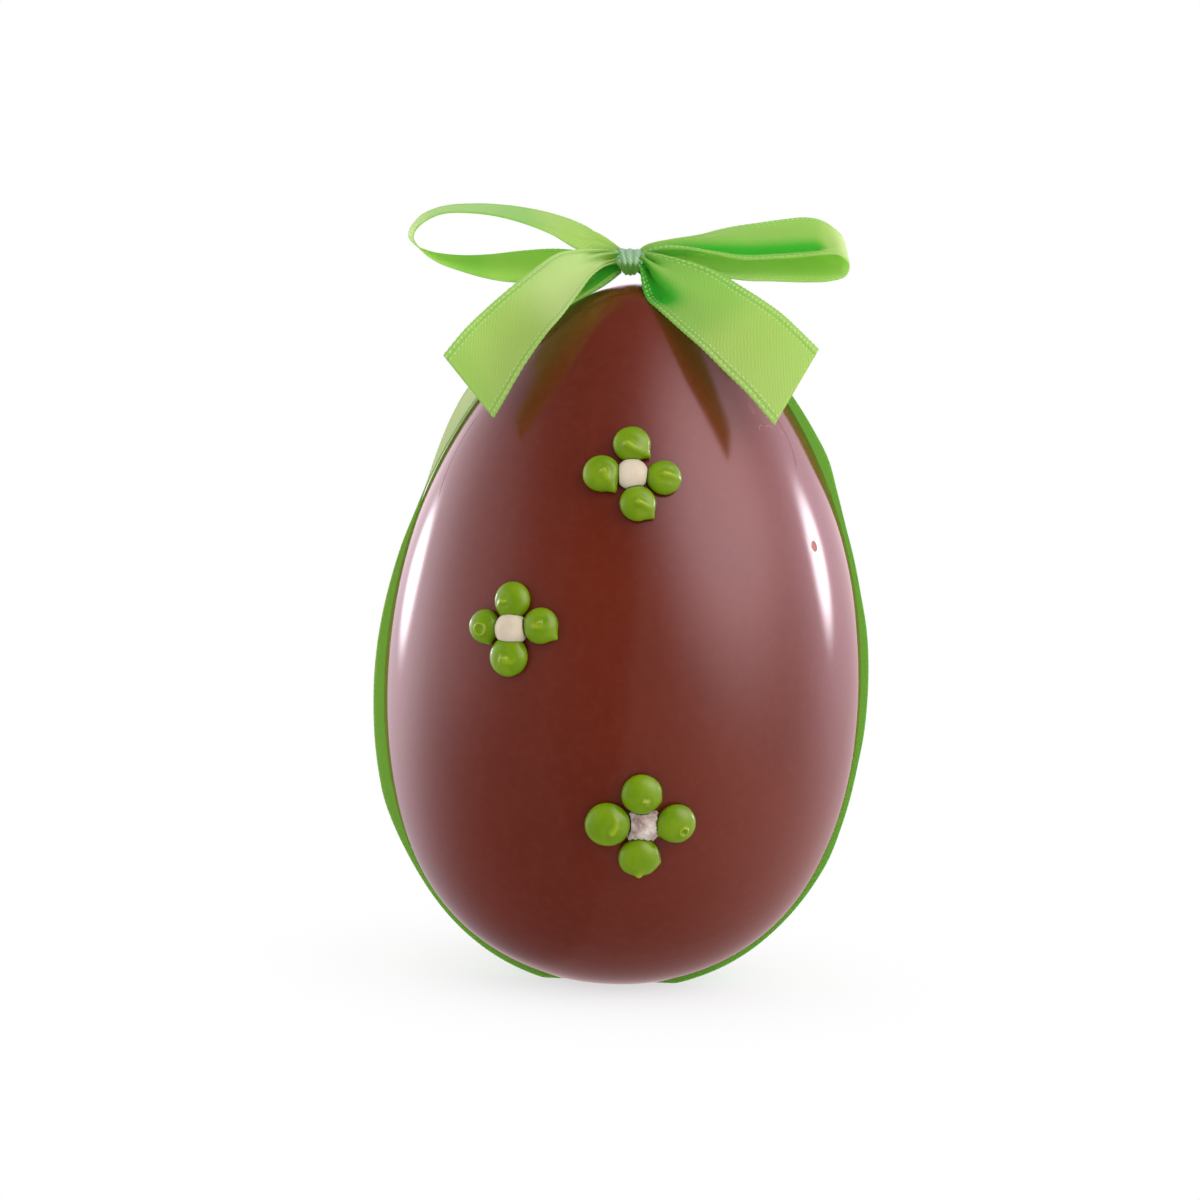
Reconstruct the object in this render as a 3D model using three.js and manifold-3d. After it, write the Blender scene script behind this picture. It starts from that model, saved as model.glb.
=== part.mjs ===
// A chocolate egg that stands on its blunt end, tied round with a satin ribbon and a bow,
// with three piped flowers on its front. Millimetres, +Z up, the front faces -Y.
// The origin is on the surface that it stands on, under the middle of the egg.
import * as THREE from 'three';
import { mergeVertices } from 'three/addons/utils/BufferGeometryUtils.js';
import Module from 'manifold-3d';

const wasm = await Module();
wasm.setup();

// Ribbon: 20 mm satin, with the gap that neighbouring pieces keep
const ribbonWidth = 20;
const ribbonThick = 0.4;
const gap = 0.3;

// Egg: a body of revolution, r = halfWidth * sqrt(1 - s^2) * (1 + blunt1 s + blunt2 s^2 + blunt3 s^3),
// s from -1 at the blunt end to 1 at the tip, with the blunt end flattened to stand on
const eggLength = 162;
const eggHalfWidth = 54.4;
const blunt1 = -0.147;
const blunt2 = 0.017;
const blunt3 = -0.104;
const flatCut = 2;
const eggBase = ribbonThick + gap;
const eggSegments = 48;
const eggRings = 32;

// Knot: a short barrel round the strands, its middle and its half sizes
const knotAt = new THREE.Vector3(-2.6, 0, 165.4);
const knotHalf = new THREE.Vector3(3.3, 4.2, 3.1);

// Steps of the ribbon pieces
const stepsAcross = 10;
const bandStepsAcross = 4;
const foldLimit = 0.8;
const bandFoldLimit = 0.5;

const chocolate = new THREE.MeshStandardMaterial({ color: 0x5e2a1e, roughness: 0.22, metalness: 0 });
const satin = new THREE.MeshStandardMaterial({ color: 0x86bd44, roughness: 0.42, metalness: 0 });
const greenIcing = new THREE.MeshStandardMaterial({ color: 0x76981c, roughness: 0.35, metalness: 0 });
const creamIcing = new THREE.MeshStandardMaterial({ color: 0xe2d2b4, roughness: 0.5, metalness: 0 });

const chocolateEgg = new THREE.Group();

function add(name, geometry, material, parent = chocolateEgg) {
  const mesh = new THREE.Mesh(geometry, material);
  mesh.name = name;
  parent.add(mesh);
  return mesh;
}

// Profile of the egg at s: distance from the axis, and height above the surface that it stands on
function eggProfile(s) {
  const radius = eggHalfWidth * Math.sqrt(Math.max(0, 1 - s * s))
    * (1 + blunt1 * s + blunt2 * s ** 2 + blunt3 * s ** 3);
  return new THREE.Vector2(radius, (s + 1) * eggLength / 2 - flatCut + eggBase);
}

const sOfHeight = (height) => (height - eggBase + flatCut) * 2 / eggLength - 1;
const sBase = sOfHeight(eggBase);

// Direction straight out of the profile at s
function profileNormal(s) {
  const step = 0.002;
  const along = eggProfile(Math.min(s + step, 1)).sub(eggProfile(s - step)).normalize();
  return new THREE.Vector2(along.y, -along.x);
}

function eggGeometry() {
  const low = Math.asin(sBase);
  const profile = [new THREE.Vector2(0, eggBase)];
  for (let i = 0; i <= eggRings; i++) {
    const angle = THREE.MathUtils.lerp(low, Math.PI / 2, i / eggRings);
    profile.push(i < eggRings ? eggProfile(Math.sin(angle)) : new THREE.Vector2(0, eggProfile(1).y));
  }
  return new THREE.LatheGeometry(profile, eggSegments).rotateX(Math.PI / 2);
}

// One piped drop: a low dome with a rim at its foot, height along +Z, foot at z = 0.
// nib draws its outline out to a point at an angle, where the piping bag was pulled away, and
// tip pushes its top over to one side.
const dropProfile = [[0, 0], [0.8, 0], [0.97, 0.14], [1, 0.3], [0.93, 0.52], [0.74, 0.72], [0.46, 0.88], [0, 1]];
const dropSegments = 14;
const nibReach = 0.16;
const nibSpread = 0.45;

function dropGeometry({ across, tall, nib = null, tip = [0, 0] }) {
  const profile = dropProfile.map(([r, h]) => new THREE.Vector2(r * across / 2, h * tall));
  const geometry = new THREE.LatheGeometry(profile, dropSegments).rotateX(Math.PI / 2);
  const at = geometry.attributes.position;
  for (let i = 0; i < at.count; i++) {
    const [x, y, z] = [at.getX(i), at.getY(i), at.getZ(i)];
    let stretch = 1;
    if (nib !== null) {
      const turned = Math.atan2(y, x) - nib + Math.PI;
      const away = Math.abs(THREE.MathUtils.euclideanModulo(turned, 2 * Math.PI) - Math.PI);
      stretch += nibReach * Math.max(0, 1 - away / nibSpread);
    }
    const lean = (z / tall) ** 4;
    at.setXYZ(i, x * stretch + tip[0] * lean, y * stretch + tip[1] * lean, z);
  }
  return geometry;
}

// A solid for cutting, in the egg's frame, from a closed mesh that is placed in it
function solidOf(geometry, holder) {
  const bare = new THREE.BufferGeometry();
  bare.setAttribute('position', geometry.attributes.position.clone());
  if (geometry.index) bare.setIndex(geometry.index);
  const merged = mergeVertices(bare, 1e-4).applyMatrix4(holder.matrix);
  return new wasm.Manifold(new wasm.Mesh({
    numProp: 3,
    vertProperties: new Float32Array(merged.attributes.position.array),
    triVerts: new Uint32Array(merged.index.array),
  }));
}

function geometryOf(solid) {
  const { vertProperties, triVerts } = solid.getMesh();
  const geometry = new THREE.BufferGeometry();
  geometry.setAttribute('position', new THREE.BufferAttribute(vertProperties, 3));
  geometry.setIndex(new THREE.BufferAttribute(triVerts, 1));
  geometry.computeVertexNormals();
  return geometry;
}

// A holder square on the egg's surface, at a distance to the right and up from a point that is given
// by azimuth (0 is the front, + is to the right) and height: X to the right, Y up, Z out of the surface
function holderOnEgg(azimuth, height, [right, up]) {
  const middle = sOfHeight(height);
  const s = sOfHeight(height + up * profileNormal(middle).x);
  const { x: radius, y: level } = eggProfile(s);
  const out = profileNormal(s);
  const turn = THREE.MathUtils.degToRad(azimuth) + right / eggProfile(middle).x;
  const xAxis = new THREE.Vector3(Math.cos(turn), Math.sin(turn), 0);
  const zAxis = new THREE.Vector3(out.x * Math.sin(turn), -out.x * Math.cos(turn), out.y);
  const yAxis = new THREE.Vector3().crossVectors(zAxis, xAxis);
  const holder = new THREE.Group();
  holder.position.set(radius * Math.sin(turn), -radius * Math.cos(turn), level).addScaledVector(zAxis, gap);
  holder.quaternion.setFromRotationMatrix(new THREE.Matrix4().makeBasis(xAxis, yAxis, zAxis));
  holder.updateMatrix();
  return holder;
}

// A flower: four green drops, and a cream one squeezed in between them, so that it has their hollows
function addFlower({ name, azimuth, height, drops, centre }) {
  let squeezed = solidOf(dropGeometry(centre), holderOnEgg(azimuth, height, centre.at));
  for (const { at, side, ...shape } of drops) {
    const holder = holderOnEgg(azimuth, height, at);
    chocolateEgg.add(holder);
    add(`flower_${name}_drop_${side}`, dropGeometry(shape), greenIcing, holder);
    const grown = dropGeometry({ ...shape, across: shape.across + 2 * gap, tall: shape.tall + gap });
    squeezed = squeezed.subtract(solidOf(grown.translate(0, 0, -gap / 2), holder));
  }
  add(`flower_${name}_centre`, geometryOf(squeezed), creamIcing);
}

// Each drop's place is its distance to the right and up of the flower's middle
const flowers = [
  {
    name: 'upper', azimuth: -0.7, height: 120.3,
    centre: { at: [0.3, 0.2], across: 6.7, tall: 3.6 },
    drops: [
      { side: 'top', at: [-0.1, 7.1], across: 8.2, tall: 3.9, tip: [-0.7, 0.2], nib: -0.9 },
      { side: 'left', at: [-6.4, -0.1], across: 8.0, tall: 3.9, tip: [0.7, 0.5], nib: -0.6 },
      { side: 'right', at: [7.2, -0.3], across: 7.7, tall: 3.6, tip: [0.5, 0.7] },
      { side: 'bottom', at: [1.7, -6.5], across: 8.0, tall: 3.8, tip: [0.2, 0.4], nib: -0.5 },
    ],
  },
  {
    name: 'middle', azimuth: -27.5, height: 86.1,
    centre: { at: [0, 0.1], across: 6.7, tall: 3.5 },
    drops: [
      { side: 'top', at: [-0.5, 6.0], across: 8.3, tall: 3.9, tip: [-0.8, -0.7] },
      { side: 'left', at: [-6.8, -0.2], across: 7.6, tall: 3.6, tip: [-0.7, -0.2] },
      { side: 'right', at: [6.9, 1.2], across: 8.0, tall: 3.8, tip: [-0.4, 0.2], nib: -0.6 },
      { side: 'bottom', at: [0.2, -6.1], across: 9.0, tall: 4.2, tip: [-0.9, -0.4] },
    ],
  },
  {
    name: 'lower', azimuth: 5.7, height: 44.6,
    centre: { at: [0.1, 0.2], across: 7.4, tall: 2.6 },
    drops: [
      { side: 'top', at: [-0.5, 7.5], across: 9.0, tall: 4.2, tip: [0.4, -0.8] },
      { side: 'left', at: [-7.4, 0.3], across: 10.0, tall: 4.6, tip: [0.8, -0.9] },
      { side: 'right', at: [7.4, 0.9], across: 8.9, tall: 4.1, tip: [0.9, -0.9] },
      { side: 'bottom', at: [-0.1, -7.2], across: 9.2, tall: 4.3, tip: [0, -1.3], nib: 0 },
    ],
  },
];

// A closed solid from a sheet given as rows of points along its middle surface:
// each point moves half the thickness out to both sides, and a rim closes the edge.
function sheetGeometry(rows, thickness) {
  const rowCount = rows.length;
  const columnCount = rows[0].length;
  const layer = rowCount * columnCount;
  const id = (i, j) => i * columnCount + j;
  const clamped = (i, last) => Math.min(Math.max(i, 0), last);
  const positions = new Float32Array(layer * 6);
  for (let i = 0; i < rowCount; i++) {
    for (let j = 0; j < columnCount; j++) {
      const along = rows[clamped(i + 1, rowCount - 1)][j].clone().sub(rows[clamped(i - 1, rowCount - 1)][j]);
      const across = rows[i][clamped(j + 1, columnCount - 1)].clone().sub(rows[i][clamped(j - 1, columnCount - 1)]);
      const out = along.cross(across).setLength(thickness / 2);
      rows[i][j].clone().add(out).toArray(positions, id(i, j) * 3);
      rows[i][j].clone().sub(out).toArray(positions, (layer + id(i, j)) * 3);
    }
  }
  const index = [];
  for (let i = 0; i < rowCount - 1; i++) {
    for (let j = 0; j < columnCount - 1; j++) {
      const [a, b, c, d] = [id(i, j), id(i + 1, j), id(i + 1, j + 1), id(i, j + 1)];
      index.push(a, b, c, a, c, d);
      index.push(layer + a, layer + c, layer + b, layer + a, layer + d, layer + c);
    }
  }
  const rim = [];
  for (let i = 0; i < rowCount - 1; i++) rim.push(id(i, 0));
  for (let j = 0; j < columnCount - 1; j++) rim.push(id(rowCount - 1, j));
  for (let i = rowCount - 1; i > 0; i--) rim.push(id(i, columnCount - 1));
  for (let j = columnCount - 1; j > 0; j--) rim.push(id(0, j));
  rim.forEach((p, k) => {
    const q = rim[(k + 1) % rim.length];
    index.push(q, p, layer + p, q, layer + p, layer + q);
  });
  const geometry = new THREE.BufferGeometry();
  geometry.setAttribute('position', new THREE.BufferAttribute(positions, 3));
  geometry.setIndex(index);
  geometry.computeVertexNormals();
  return geometry;
}

// One row across the ribbon between its two selvedges. The cloth keeps its width: where the
// selvedges are drawn together, the rest of it goes into soft folds on both sides of the line.
function rowAcross(near, far, out, { steps, folds, foldSign = 1, deepest = foldLimit, bow = 0 }) {
  const chord = near.distanceTo(far);
  const spare = Math.max(0, ribbonWidth / chord - 1);
  const depth = foldSign * Math.min(deepest, chord / (Math.PI * folds) * Math.sqrt(spare));
  const row = [];
  for (let j = 0; j <= steps; j++) {
    const v = j / steps;
    const lift = depth * Math.sin(2 * Math.PI * folds * v) + bow * Math.sin(Math.PI * v);
    row.push(near.clone().lerp(far, v).addScaledVector(out, lift));
  }
  return row;
}

// A free stretch of ribbon: its near and far selvedges are smooth curves, each through its own
// points, which go in pairs. nested makes the folds of a loop's two ends lie in one another.
function ribbonGeometry({ near, far, steps, folds = 2.5, bow = 0, nested = false }) {
  const curve = (points) => new THREE.CatmullRomCurve3(points.map((p) => new THREE.Vector3(...p)));
  const [nearCurve, farCurve] = [curve(near), curve(far)];
  const rows = [];
  for (let i = 0; i <= steps; i++) {
    const u = i / steps;
    const [a, b] = [nearCurve.getPoint(u), farCurve.getPoint(u)];
    const along = nearCurve.getTangent(u).add(farCurve.getTangent(u));
    const out = along.cross(b.clone().sub(a)).normalize();
    const shape = { steps: stepsAcross, folds, foldSign: nested && u > 0.5 ? -1 : 1, bow: bow * Math.sin(Math.PI * u) };
    rows.push(rowAcross(a, b, out, shape));
  }
  return sheetGeometry(rows, ribbonThick);
}

// Both loops start at the knot with their upper strand and come back to it with the lower one
const leftLoop = {
  near: [
    [-6.4, -3, 167.5], [-10.1, -5.5, 168.5], [-14.4, -8, 169.5], [-20.6, -9.5, 172], [-29.8, -10, 174.3],
    [-38.1, -10, 175.3], [-46, -10, 174.7], [-50.7, -10, 171.8], [-51.9, -10, 169.3], [-50.2, -10, 166.7],
    [-46.5, -10, 164.1], [-40.5, -10, 162.1], [-33.7, -10, 160.6], [-28, -9.5, 160.2], [-20.6, -7, 161.3],
    [-12.8, -4.5, 163.9], [-6.4, -3, 165.9],
  ],
  far: [
    [-6.4, 3, 168.2], [-11.4, 5, 172], [-15.7, 8, 173.8], [-22.7, 9.5, 175.6], [-30.8, 10, 176.6],
    [-38.9, 10, 176.7], [-46.5, 10, 175.7], [-51.6, 10, 173.1], [-53.9, 10, 168.9], [-51.9, 10, 166.5],
    [-48.3, 10, 165.2], [-41.9, 10, 164.7], [-35, 10, 165.2], [-27.6, 9, 166.4], [-19.8, 7, 167.3],
    [-11.9, 4.5, 167.1], [-6.4, 3, 166.6],
  ],
  steps: 44, nested: true,
};

const rightLoop = {
  near: [
    [1.2, -3, 167.5], [5.8, -6, 168.9], [10.8, -8, 169.2], [16.4, -9, 168.5], [22.6, -9.5, 167.6],
    [28.9, -9.5, 168], [35, -9.5, 168.6], [40.1, -9.5, 169.4], [44.2, -9.5, 169.6], [46.5, -9.5, 168.2],
    [46.9, -9.5, 166.7], [46, -9.5, 164.8], [42.7, -9.5, 163.6], [37, -9.5, 163.1], [30.3, -9.5, 163],
    [22.6, -9, 162.9], [14.4, -7, 164], [6.4, -4.5, 165.6], [1.2, -3, 165.9],
  ],
  far: [
    [1.2, 3, 168.2], [6.8, 5, 169.9], [12.5, 8, 171.7], [19.5, 9, 173.8], [27.1, 9.5, 175.3],
    [32.6, 9.5, 176.3], [37.1, 9.5, 176.9], [40.6, 9.5, 176.5], [43.7, 9.5, 174.9], [45.9, 9.5, 172.9],
    [46.7, 9.5, 170.6], [45.6, 9.5, 169], [42.2, 9.5, 167.9], [36, 9.5, 167.4], [28.6, 9.5, 166.8],
    [20.8, 9, 166.3], [13.4, 7, 166], [6.5, 4.5, 166.4], [1.2, 3, 166.6],
  ],
  steps: 44, nested: true,
};

// The tails start in front of the knot and end in a straight cut
const leftTail = {
  near: [
    [-6.3, -6.2, 165.4], [-8.6, -8.6, 164.5], [-11.1, -11.8, 162.5], [-13.8, -16.2, 158.8], [-17.3, -21, 153.9],
    [-20.8, -24.6, 149.6], [-24.9, -27.6, 143.3], [-28.9, -29.8, 135.8], [-31.5, -31, 130.8],
  ],
  far: [
    [-6.6, -5.2, 168], [-10.5, -8.2, 168.3], [-14.8, -10.2, 168.1], [-19.3, -11.2, 167.1], [-24.3, -11.8, 163.4],
    [-31.2, -12.6, 157.3], [-36, -14.8, 152.7], [-39.5, -17.8, 149], [-43.6, -21, 143.6],
  ],
  steps: 20, folds: 1.5, bow: 1.5,
};

const rightTail = {
  near: [
    [-0.8, -5.8, 165.1], [-0.2, -8.6, 161.8], [1.2, -12.4, 158.4], [3.6, -16, 156.3], [8.7, -23.2, 152.3],
    [14.3, -29.2, 148.1], [19, -32.6, 143.9], [24.4, -35.6, 139.2], [30.6, -38.5, 132.6],
  ],
  far: [
    [1.8, -5, 167.8], [6.7, -8.5, 167.4], [12.2, -10.6, 166.3], [17.2, -12, 164.6], [21.9, -15.5, 162.1],
    [27.8, -21, 158.9], [31.6, -24.4, 156.5], [35.6, -28.2, 153.2], [39.9, -31.5, 149.4],
  ],
  steps: 20, folds: 1.5, bow: -1.5,
};

// The band lies round the egg in the XZ plane, from the left of the knot, under the egg and up to
// the right of it. It is loose: at each height its near and far selvedges stand this far off the
// chocolate, measured to the middle of the cloth. The egg's curve falls away under both of them.
const snug = gap + ribbonThick / 2;
const topLeft = 151;
const topRight = 156.5;
const looseLeft = [
  [topLeft, 0.6, 0.6], [140, 0.6, 2.1], [130, 0.6, 2.9], [123, 0.7, 2.0], [115, 0.7, 0.9], [100, 1.1, 0.2],
  [85, 1.7, -0.1], [70, 2.1, -0.3], [50, 2.2, -0.3], [40, 2.1, -0.2], [32, 1.5, 0], [25, 0.8, 0.3],
  [18, 0.7, 0.4], [8, snug, snug], [eggBase, snug, snug],
];
const looseRight = [
  [topRight, 0.6, 0.6], [140, 1.5, 0.4], [130, 2.0, 0], [122, 2.2, -0.2], [114, 1.4, 0], [106, 0.9, 0.3],
  [95, 1.0, 0.2], [80, 1.5, 0], [65, 1.4, 0], [50, 0.9, 0.3], [30, 1.1, 0.2], [10, 0.7, 0.5],
  [4, 0.6, 0.6], [eggBase, snug, snug],
];
// On its way down it also drifts this far to the back, so that little of its inner face shows in the chocolate
const driftLeft = [[topLeft, 0], [134, 3.5], [95, 6], [20, 6], [eggBase, 2]];
const driftRight = [[topRight, 0], [136, 3], [95, 5.5], [20, 5.5], [eggBase, 2]];
const bandSideSteps = 26;
const armSteps = 5;
const armRootHalf = 3;
const armRootHeight = 163.4;

// Value of a table of [height, ...values] at a height, eased from one entry to the next
function eased(table, height, column) {
  const k = Math.min(table.findIndex((entry) => entry[0] <= height + 1e-9), table.length - 1);
  if (k <= 0) return table[0][column];
  const t = (table[k - 1][0] - height) / (table[k - 1][0] - table[k][0]);
  return THREE.MathUtils.lerp(table[k - 1][column], table[k][column], THREE.MathUtils.smoothstep(t, 0, 1));
}

// Selvedge points of one side of the band, from the top down to the edge of the flat
function bandSide(side, loose, drift) {
  const rows = [];
  const [high, low] = [Math.asin(sOfHeight(loose[0][0])), Math.asin(sBase)];
  for (let i = 0; i <= bandSideSteps; i++) {
    const s = Math.sin(THREE.MathUtils.lerp(high, low, i / bandSideSteps));
    const last = i === bandSideSteps;
    const profile = eggProfile(s);
    const normal = last ? new THREE.Vector2(0, -1) : profileNormal(s);
    const back = eased(drift, profile.y, 1);
    const [near, far] = [1, 2].map((column) => {
      const point = profile.clone().addScaledVector(normal, eased(loose, profile.y, column));
      return new THREE.Vector3(side * point.x, (column === 1 ? -1 : 1) * ribbonWidth / 2 + back, point.y);
    });
    rows.push([near, far]);
  }
  return rows;
}

// Selvedge points of the free arm that leads up from the egg's shoulder to the knot
function bandArm(side, [shoulderNear, shoulderFar]) {
  const rootX = side < 0 ? knotAt.x - knotHalf.x - gap - 0.2 : knotAt.x + knotHalf.x + gap + 0.2;
  const root = [-1, 1].map((y) => new THREE.Vector3(rootX, y * armRootHalf, armRootHeight));
  const rows = [];
  for (let i = 0; i < armSteps; i++) {
    const t = i / armSteps;
    const widen = Math.sin(t * Math.PI / 2);
    rows.push([shoulderNear, shoulderFar].map((shoulder, k) => {
      const point = root[k].clone().lerp(shoulder, t);
      point.y = THREE.MathUtils.lerp(root[k].y, shoulder.y, widen);
      return point;
    }));
  }
  return rows;
}

function bandGeometry() {
  const left = bandSide(-1, looseLeft, driftLeft);
  const right = bandSide(1, looseRight, driftRight);
  const pairs = [
    ...bandArm(-1, left[0]), ...left,
    ...right.reverse(), ...bandArm(1, right[right.length - 1]).reverse(),
  ];
  const rows = pairs.map(([near, far], i) => {
    const before = pairs[Math.max(i - 1, 0)];
    const after = pairs[Math.min(i + 1, pairs.length - 1)];
    const along = after[0].clone().add(after[1]).sub(before[0]).sub(before[1]);
    const out = along.cross(far.clone().sub(near)).normalize();
    return rowAcross(near, far, out, { steps: bandStepsAcross, folds: 1, deepest: bandFoldLimit });
  });
  return sheetGeometry(rows, ribbonThick);
}

// The knot's cloth lies in ridges round the strands that it holds
function knotGeometry() {
  const rings = 14;
  const ridges = 4;
  const profile = [];
  for (let i = 0; i <= rings; i++) {
    const x = -1 + 2 * i / rings;
    const round = (1 - Math.abs(x) ** 3) ** (1 / 3);
    const ridge = 1 - 0.07 * (1 - Math.cos(2 * Math.PI * ridges * (x + 1) / 2)) / 2;
    profile.push(new THREE.Vector2(i === 0 || i === rings ? 0 : round * ridge, x));
  }
  const geometry = new THREE.LatheGeometry(profile, 20).rotateZ(-Math.PI / 2);
  return geometry.scale(knotHalf.x, knotHalf.y, knotHalf.z);
}

add('egg', eggGeometry(), chocolate);
for (const flower of flowers) addFlower(flower);
add('ribbon_band', bandGeometry(), satin);
add('ribbon_knot', knotGeometry(), satin).position.copy(knotAt);
add('bow_loop_left', ribbonGeometry(leftLoop), satin);
add('bow_loop_right', ribbonGeometry(rightLoop), satin);
add('bow_tail_left', ribbonGeometry(leftTail), satin);
add('bow_tail_right', ribbonGeometry(rightTail), satin);

export default chocolateEgg;
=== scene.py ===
import math

import bmesh
import bpy
from mathutils import Matrix, Vector, noise


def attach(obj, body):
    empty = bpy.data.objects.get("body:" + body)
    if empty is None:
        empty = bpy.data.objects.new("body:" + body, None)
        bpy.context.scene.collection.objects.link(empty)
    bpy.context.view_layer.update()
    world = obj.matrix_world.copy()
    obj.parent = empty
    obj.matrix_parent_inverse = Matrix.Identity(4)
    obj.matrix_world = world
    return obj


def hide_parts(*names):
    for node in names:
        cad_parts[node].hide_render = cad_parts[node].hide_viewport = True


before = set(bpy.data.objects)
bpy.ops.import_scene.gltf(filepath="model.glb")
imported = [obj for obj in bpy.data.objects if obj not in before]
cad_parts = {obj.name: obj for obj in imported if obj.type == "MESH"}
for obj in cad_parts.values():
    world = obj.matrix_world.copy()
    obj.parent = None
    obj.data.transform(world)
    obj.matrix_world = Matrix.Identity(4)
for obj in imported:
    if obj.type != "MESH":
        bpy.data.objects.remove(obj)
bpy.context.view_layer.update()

# A chocolate egg with a satin ribbon and bow, and piped icing flowers.
# Lengths are in millimetres until a mesh is finished, and metres after that.
millimetre = 0.001
toMetres = Matrix.Scale(millimetre, 4)
up = Vector((0, 0, 1))
scene = bpy.context.scene


# Nodes

def setSockets(tree, node, values):
    for name, value in dict(values).items():
        socket = node.inputs[name]
        if isinstance(value, bpy.types.NodeSocket):
            tree.links.new(value, socket)
        elif socket.type == "RGBA":
            socket.default_value = (*value, 1)
        else:
            socket.default_value = value


def addNode(tree, kind, values=(), **settings):
    made = tree.nodes.new("ShaderNode" + kind)
    for setting, value in settings.items():
        setattr(made, setting, value)
    setSockets(tree, made, values)
    return made


def maths(tree, operation, *values, clamp=False):
    return addNode(tree, "Math", enumerate(values), operation=operation, use_clamp=clamp).outputs[0]


def vectorMaths(tree, operation, *values):
    return addNode(tree, "VectorMath", enumerate(values), operation=operation).outputs


def splitAxes(tree, vector):
    return addNode(tree, "SeparateXYZ", {0: vector}).outputs


def attribute(tree, name):
    return addNode(tree, "Attribute", attribute_name=name).outputs


def mapRange(tree, value, fromMin, fromMax, toMin=0.0, toMax=1.0, smooth=True):
    values = enumerate((value, fromMin, fromMax, toMin, toMax))
    easing = "SMOOTHSTEP" if smooth else "LINEAR"
    return addNode(tree, "MapRange", values, interpolation_type=easing).outputs[0]


def mixColour(tree, factor, first, second):
    return addNode(tree, "Mix", {0: factor, 6: first, 7: second}, data_type="RGBA").outputs[2]


def noiseValue(tree, vector, scale, detail=2.0, roughness=0.5):
    values = {"Vector": vector, "Scale": scale, "Detail": detail, "Roughness": roughness}
    return addNode(tree, "TexNoise", values).outputs["Fac"]


def bumpNormal(tree, height, strength, distance):
    return addNode(tree, "Bump", {"Height": height, "Strength": strength, "Distance": distance}).outputs[0]


def mixShaders(tree, share, first, second):
    return addNode(tree, "MixShader", {0: share, 1: first.outputs[0], 2: second.outputs[0]})


def geometry(tree, which):
    return addNode(tree, "NewGeometry").outputs[which]


def coordinates(tree, which):
    return addNode(tree, "TexCoord").outputs[which]


def newMaterial(name, values):
    material = bpy.data.materials.new(name)
    material.use_nodes = True
    tree = material.node_tree
    tree.nodes.clear()
    shader = addNode(tree, "BsdfPrincipled", values)
    return material, tree, shader, addNode(tree, "OutputMaterial", {"Surface": shader.outputs[0]})


def newGroup(name, inputs, outputs):
    group = bpy.data.node_groups.new(name, "ShaderNodeTree")
    kinds = {"Vector": "Vector", "Light": "Color"}
    for side, sockets in (("INPUT", inputs), ("OUTPUT", outputs)):
        for socket in sockets:
            kind = "NodeSocket" + kinds.get(socket, "Float")
            group.interface.new_socket(socket, in_out=side, socket_type=kind)
    return group, group.nodes.new("NodeGroupInput").outputs, group.nodes.new("NodeGroupOutput").inputs


def placeGroup(tree, group, values):
    return addNode(tree, "Group", values, node_tree=group).outputs


# Camera

view = {
    "aim": (-6.06, 0, 87.44), "distance": 1000, "elevation": 7, "lens": 130.17, "roll": 2.558,
    "sensor": 36, "clipStart": 0.05,
}


def newObject(name, data):
    made = bpy.data.objects.new(name, data)
    scene.collection.objects.link(made)
    return made


def holderAt(place, xAxis, yAxis, zAxis):
    return Matrix.Translation(place) @ Matrix((xAxis, yAxis, zAxis)).transposed().to_4x4()


def addCamera():
    rise, roll = math.radians(view["elevation"]), math.radians(view["roll"])
    forward = Vector((0, math.cos(rise), -math.sin(rise)))
    right, upwards = Vector((1, 0, 0)), Vector((0, math.sin(rise), math.cos(rise)))
    cameraX = right * math.cos(roll) + upwards * math.sin(roll)
    cameraY = upwards * math.cos(roll) - right * math.sin(roll)
    camera = newObject("camera", bpy.data.cameras.new("camera"))
    camera.data.lens = view["lens"]
    camera.data.sensor_width = view["sensor"]
    camera.data.clip_start = view["clipStart"]
    place = (Vector(view["aim"]) - forward * view["distance"]) * millimetre
    camera.matrix_world = holderAt(place, cameraX, cameraY, -forward)
    scene.camera = camera


addCamera()
print("camera ready")


# Lights and floor

# each box: azimuth (0 is the front, + is to the right), rise, distance, width and height in metres, radiance,
# the share of it that fades towards an edge, tint
softboxes = {
    "keyPanel": (50, 36, 1.3, 1.5, 1.4, 2.8, 0.32, (1.0, 0.97, 0.95)),
    "rightBox": (111, 6, 1.1, 0.6, 0.6, 5.0, 0.25, (0.97, 0.97, 1.0)),
    "leftBox": (-116, 5, 1.1, 0.85, 0.8, 3.8, 0.35, (0.95, 0.95, 1.0)),
    "leftFill": (-70, 22, 1.4, 1.2, 1.4, 1.5, 0.5, (0.98, 0.97, 1.0)),
    "topPanel": (0, 74, 1.3, 1.2, 0.9, 0.4, 0.5, (1.0, 1.0, 1.0)),
}
plainTint = (1.14, 0.95, 1.07)
# what glossy things mirror, each patch: azimuth, rise, the sines of the angles to the side and upwards where
# its light has fallen to about a third, radiance, how hard its edge is, tint
patches = [
    (58, 36, 0.525, 0.58, 3.6, 1.65, (1.22, 0.92, 1.03)),
    (119, 10, 0.11, 0.15, 12.0, 2.0, (1.05, 1.0, 1.08)),
    (118, 14, 0.45, 0.4, 2.1, 1.0, (1.13, 0.93, 1.2)),
    (-136, 2, 0.12, 0.105, 8.5, 1.8, (1.05, 1.0, 1.1)),
    (-126, 0, 0.56, 0.418, 2.5, 0.8, plainTint),
    (95, -6, 0.98, 0.8, 0.75, 1.75, (1.4, 0.9, 0.85)),
    (-95, 14, 0.6, 0.45, 0.6, 2.0, plainTint),
    (180, 7, 0.5, 0.26, 1.5, 1.5, plainTint),
    (0, -80, 0.95, 0.95, 0.1, 2.0, plainTint),
]
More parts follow.
